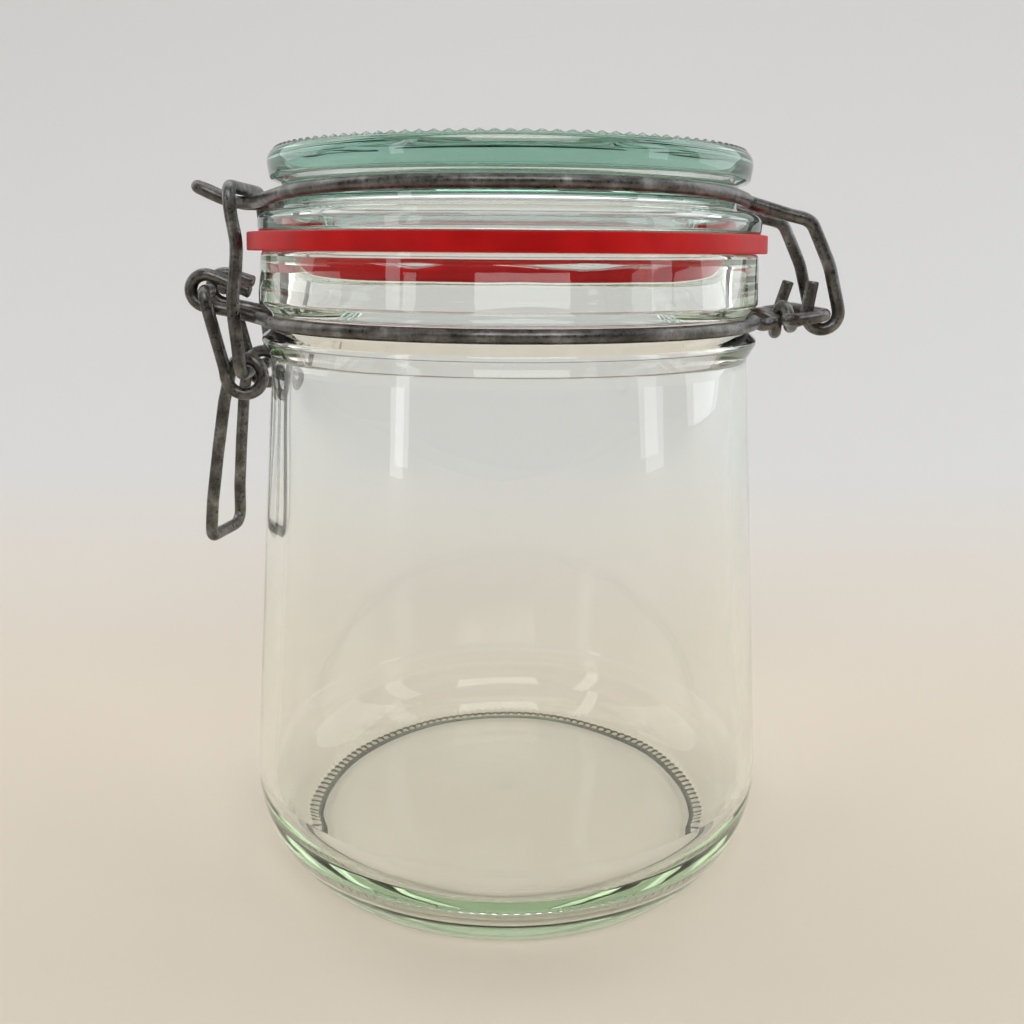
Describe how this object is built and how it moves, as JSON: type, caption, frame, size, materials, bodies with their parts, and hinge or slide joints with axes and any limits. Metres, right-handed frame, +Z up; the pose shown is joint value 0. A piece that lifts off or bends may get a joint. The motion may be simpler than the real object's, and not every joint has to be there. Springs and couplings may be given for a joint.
{
  "type": "clip-top canning jar",
  "caption": "Clear glass canning jar with a hinged glass lid, a rubber sealing ring and a wire clamp with a lever, shut and empty.",
  "frame": {"origin": "on the jar's axis, at the height of the surface it stands on", "axes": "+Z up along the jar's axis, +X towards the lid's hinge, -X towards the clamp, Y across"},
  "size_m": [0.1358, 0.1148, 0.1513],
  "materials": {
    "jar_glass": "clear pressed glass, faint green in its thick parts",
    "lid_glass": "clear pressed glass, aqua green at its edge",
    "red_rubber": "satin red rubber",
    "zinc_wire": "dull galvanised wire with a mottled patina"
  },
  "bodies": {
    "jar": {"jar": "jar_glass", "neck_wire": "zinc_wire"},
    "lid": {"lid": "lid_glass", "gasket": "red_rubber", "lid_wire": "zinc_wire"},
    "lever": {"lever": "zinc_wire"},
    "link": {"link": "zinc_wire"}
  },
  "joints": [
    {"name": "lid_hinge", "type": "hinge", "parent": "jar", "child": "lid", "pos_m": [0.0641, 0, 0.1198], "axis": [0, 1, 0], "range_deg": [0, 180]},
    {"name": "lever_pivot", "type": "hinge", "parent": "jar", "child": "lever", "pos_m": [-0.0626, 0, 0.1235], "axis": [0, 1, 0], "range_deg": [0, 120]},
    {"name": "link_pivot", "type": "hinge", "parent": "lever", "child": "link", "pos_m": [-0.055, 0, 0.1069], "axis": [0, 1, 0], "range_deg": [-152, 0]}
  ],
  "couplings": [
    {"joint": "lever_pivot", "follows": "lid_hinge", "ratio": 0.1111},
    {"joint": "link_pivot", "follows": "lid_hinge", "ratio": -0.8333}
  ]
}
